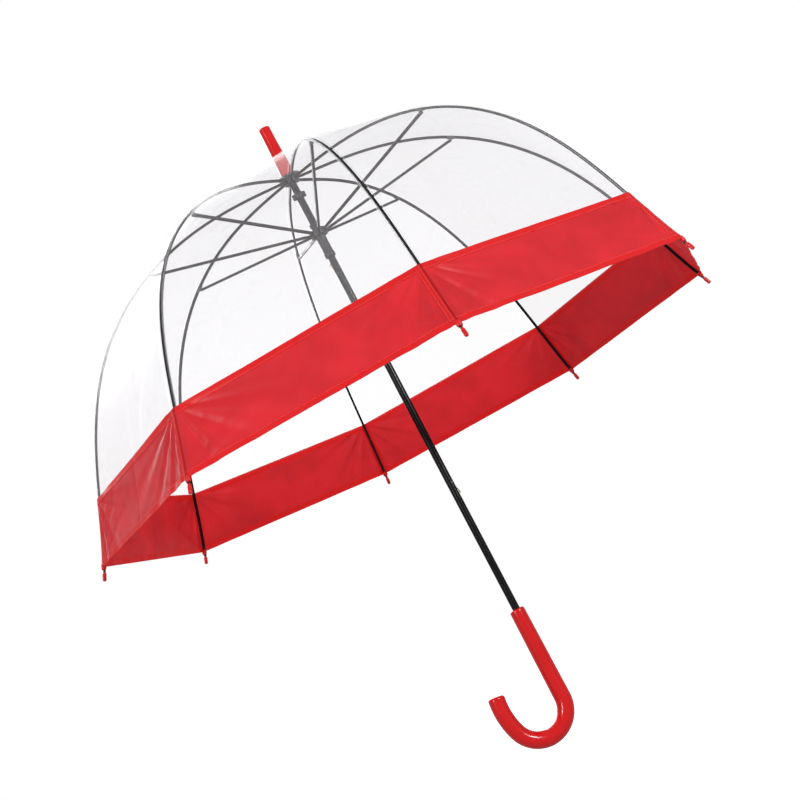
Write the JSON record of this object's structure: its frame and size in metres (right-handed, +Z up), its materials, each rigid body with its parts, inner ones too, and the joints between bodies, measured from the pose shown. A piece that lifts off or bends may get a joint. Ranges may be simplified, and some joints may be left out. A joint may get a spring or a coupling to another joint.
{
  "type": "dome stick umbrella",
  "caption": "Dome-shaped stick umbrella with a clear film canopy, a red border, steel ribs with stretchers, a sliding runner, a crook handle and a ferrule.",
  "frame": {"origin": "on the shaft's axis in the middle of the handle's straight grip, where a hand holds the open umbrella", "axes": "+Z up the shaft towards the ferrule; +X towards the free end of the crook, which is also under the first rib; +Y completes the right-handed frame"},
  "size_m": [0.8712, 0.8712, 0.8682],
  "materials": {
    "black_tube": "gloss",
    "red_gloss": "gloss",
    "red_tip": "gloss",
    "black_steel": "satin",
    "joint_steel": "satin",
    "wire": "satin",
    "catch_steel": "satin",
    "clear_film": "gloss",
    "red_border": "satin",
    "black_plastic": "satin"
  },
  "bodies": {
    "shaft": {"shaft_tube": "black_tube", "ferrule": "red_gloss", "top_washer": "black_plastic", "notch": "black_plastic", "notch_wire": "wire", "stop_collar": "black_plastic", "catch_pins": "wire", "handle": "red_gloss"},
    "runner": {"runner": "black_plastic", "runner_wire": "wire"},
    "top_catch": {"top_catch": "catch_steel"},
    "bottom_catch": {"bottom_catch": "catch_steel"},
    "rib_1": {"rib_1": "black_steel", "rib_tip_1": "red_tip", "rib_joint_1": "joint_steel", "film_1": "clear_film", "border_1": "red_border"},
    "stretcher_1": {"stretcher_1": "black_steel"},
    "rib_2": {"rib_2": "black_steel", "rib_tip_2": "red_tip", "rib_joint_2": "joint_steel", "film_2": "clear_film", "border_2": "red_border"},
    "stretcher_2": {"stretcher_2": "black_steel"},
    "rib_3": {"rib_3": "black_steel", "rib_tip_3": "red_tip", "rib_joint_3": "joint_steel", "film_3": "clear_film", "border_3": "red_border"},
    "stretcher_3": {"stretcher_3": "black_steel"},
    "rib_4": {"rib_4": "black_steel", "rib_tip_4": "red_tip", "rib_joint_4": "joint_steel", "film_4": "clear_film", "border_4": "red_border"},
    "stretcher_4": {"stretcher_4": "black_steel"},
    "rib_5": {"rib_5": "black_steel", "rib_tip_5": "red_tip", "rib_joint_5": "joint_steel", "film_5": "clear_film", "border_5": "red_border"},
    "stretcher_5": {"stretcher_5": "black_steel"},
    "rib_6": {"rib_6": "black_steel", "rib_tip_6": "red_tip", "rib_joint_6": "joint_steel", "film_6": "clear_film", "border_6": "red_border"},
    "stretcher_6": {"stretcher_6": "black_steel"},
    "rib_7": {"rib_7": "black_steel", "rib_tip_7": "red_tip", "rib_joint_7": "joint_steel", "film_7": "clear_film", "border_7": "red_border"},
    "stretcher_7": {"stretcher_7": "black_steel"},
    "rib_8": {"rib_8": "black_steel", "rib_tip_8": "red_tip", "rib_joint_8": "joint_steel", "film_8": "clear_film", "border_8": "red_border"},
    "stretcher_8": {"stretcher_8": "black_steel"}
  },
  "joints": [
    {"name": "runner_slide", "type": "slide", "parent": "shaft", "child": "runner", "axis": [0, 0, -1], "range_m": [0, 0.2651], "deforming": ["film_1", "film_2", "film_3", "film_4", "film_5", "film_6", "film_7", "film_8", "border_1", "border_2", "border_3", "border_4", "border_5", "border_6", "border_7", "border_8", "top_catch"]},
    {"name": "rib_fold_1", "type": "hinge", "parent": "shaft", "child": "rib_1", "pos_m": [0.0085, 0, 0.69], "axis": [0, 1, 0], "range_deg": [0, 44.05]},
    {"name": "stretcher_fold_1", "type": "hinge", "parent": "rib_1", "child": "stretcher_1", "pos_m": [0.21553, 0, 0.64979], "axis": [0, 1, 0], "range_deg": [-88.1, 0]},
    {"name": "rib_fold_2", "type": "hinge", "parent": "shaft", "child": "rib_2", "pos_m": [0.00601, 0.00601, 0.69], "axis": [-0.7071, 0.7071, 0], "range_deg": [0, 44.05]},
    {"name": "stretcher_fold_2", "type": "hinge", "parent": "rib_2", "child": "stretcher_2", "pos_m": [0.1524, 0.1524, 0.64979], "axis": [-0.7071, 0.7071, 0], "range_deg": [-88.1, 0]},
    {"name": "rib_fold_3", "type": "hinge", "parent": "shaft", "child": "rib_3", "pos_m": [0, 0.0085, 0.69], "axis": [-1, 0, 0], "range_deg": [0, 44.05]},
    {"name": "stretcher_fold_3", "type": "hinge", "parent": "rib_3", "child": "stretcher_3", "pos_m": [0, 0.21553, 0.64979], "axis": [-1, 0, 0], "range_deg": [-88.1, 0]},
    {"name": "rib_fold_4", "type": "hinge", "parent": "shaft", "child": "rib_4", "pos_m": [-0.00601, 0.00601, 0.69], "axis": [-0.7071, -0.7071, 0], "range_deg": [0, 44.05]},
    {"name": "stretcher_fold_4", "type": "hinge", "parent": "rib_4", "child": "stretcher_4", "pos_m": [-0.1524, 0.1524, 0.64979], "axis": [-0.7071, -0.7071, 0], "range_deg": [-88.1, 0]},
    {"name": "rib_fold_5", "type": "hinge", "parent": "shaft", "child": "rib_5", "pos_m": [-0.0085, 0, 0.69], "axis": [0, -1, 0], "range_deg": [0, 44.05]},
    {"name": "stretcher_fold_5", "type": "hinge", "parent": "rib_5", "child": "stretcher_5", "pos_m": [-0.21553, 0, 0.64979], "axis": [0, -1, 0], "range_deg": [-88.1, 0]},
    {"name": "rib_fold_6", "type": "hinge", "parent": "shaft", "child": "rib_6", "pos_m": [-0.00601, -0.00601, 0.69], "axis": [0.7071, -0.7071, 0], "range_deg": [0, 44.05]},
    {"name": "stretcher_fold_6", "type": "hinge", "parent": "rib_6", "child": "stretcher_6", "pos_m": [-0.1524, -0.1524, 0.64979], "axis": [0.7071, -0.7071, 0], "range_deg": [-88.1, 0]},
    {"name": "rib_fold_7", "type": "hinge", "parent": "shaft", "child": "rib_7", "pos_m": [0, -0.0085, 0.69], "axis": [1, 0, 0], "range_deg": [0, 44.05]},
    {"name": "stretcher_fold_7", "type": "hinge", "parent": "rib_7", "child": "stretcher_7", "pos_m": [0, -0.21553, 0.64979], "axis": [1, 0, 0], "range_deg": [-88.1, 0]},
    {"name": "rib_fold_8", "type": "hinge", "parent": "shaft", "child": "rib_8", "pos_m": [0.00601, -0.00601, 0.69], "axis": [0.7071, 0.7071, 0], "range_deg": [0, 44.05]},
    {"name": "stretcher_fold_8", "type": "hinge", "parent": "rib_8", "child": "stretcher_8", "pos_m": [0.1524, -0.1524, 0.64979], "axis": [0.7071, 0.7071, 0], "range_deg": [-88.1, 0]},
    {"name": "top_catch_press", "type": "hinge", "parent": "shaft", "child": "top_catch", "pos_m": [0.002, 0, 0.55], "axis": [0, -1, 0], "range_deg": [0, 9.5], "stiffness_Nm_per_rad": 0.3},
    {"name": "bottom_catch_press", "type": "hinge", "parent": "shaft", "child": "bottom_catch", "pos_m": [-0.002, 0, 0.243], "axis": [0, -1, 0], "range_deg": [0, 9.5], "stiffness_Nm_per_rad": 0.3}
  ],
  "couplings": [
    {"joint": "rib_fold_1", "follows": "runner_slide", "rad_per_m": 2.8968},
    {"joint": "stretcher_fold_1", "follows": "runner_slide", "rad_per_m": -5.7936},
    {"joint": "rib_fold_2", "follows": "runner_slide", "rad_per_m": 2.8968},
    {"joint": "stretcher_fold_2", "follows": "runner_slide", "rad_per_m": -5.7936},
    {"joint": "rib_fold_3", "follows": "runner_slide", "rad_per_m": 2.8968},
    {"joint": "stretcher_fold_3", "follows": "runner_slide", "rad_per_m": -5.7936},
    {"joint": "rib_fold_4", "follows": "runner_slide", "rad_per_m": 2.8968},
    {"joint": "stretcher_fold_4", "follows": "runner_slide", "rad_per_m": -5.7936},
    {"joint": "rib_fold_5", "follows": "runner_slide", "rad_per_m": 2.8968},
    {"joint": "stretcher_fold_5", "follows": "runner_slide", "rad_per_m": -5.7936},
    {"joint": "rib_fold_6", "follows": "runner_slide", "rad_per_m": 2.8968},
    {"joint": "stretcher_fold_6", "follows": "runner_slide", "rad_per_m": -5.7936},
    {"joint": "rib_fold_7", "follows": "runner_slide", "rad_per_m": 2.8968},
    {"joint": "stretcher_fold_7", "follows": "runner_slide", "rad_per_m": -5.7936},
    {"joint": "rib_fold_8", "follows": "runner_slide", "rad_per_m": 2.8968},
    {"joint": "stretcher_fold_8", "follows": "runner_slide", "rad_per_m": -5.7936}
  ]
}
